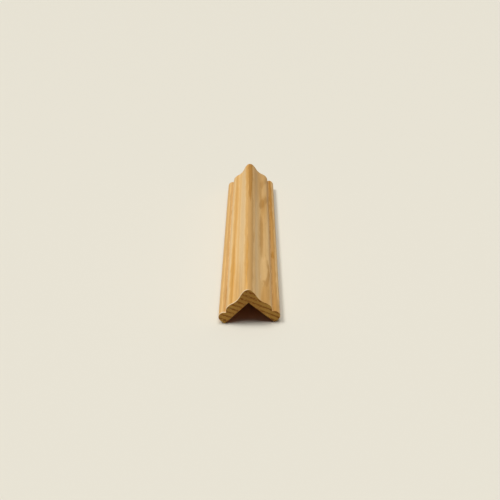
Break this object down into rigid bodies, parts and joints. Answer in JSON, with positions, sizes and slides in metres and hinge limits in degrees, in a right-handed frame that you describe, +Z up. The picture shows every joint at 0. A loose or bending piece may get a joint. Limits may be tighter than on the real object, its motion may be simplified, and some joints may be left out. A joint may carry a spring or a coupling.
{
  "type": "outside corner moulding",
  "caption": "Straight wooden outside corner moulding with a right-angled back, rounded nose, cove, ovolo and edge bead, cut square at both ends.",
  "frame": {"origin": "middle of the length and width, on the surface that the moulding lies on, level with the small flats on the inner arrises of its legs", "axes": "+Y along the length, from the end nearest the viewer in the picture to the far end; +Z up through the nose; +X across to the right leg"},
  "size_m": [0.0368, 0.18, 0.0237],
  "materials": {
    "pine": "bare planed softwood, straight grain with cathedral figure on one leg, end grain showing at both sawn ends"
  },
  "bodies": {
    "root": {"corner_moulding": "pine"}
  },
  "joints": []
}
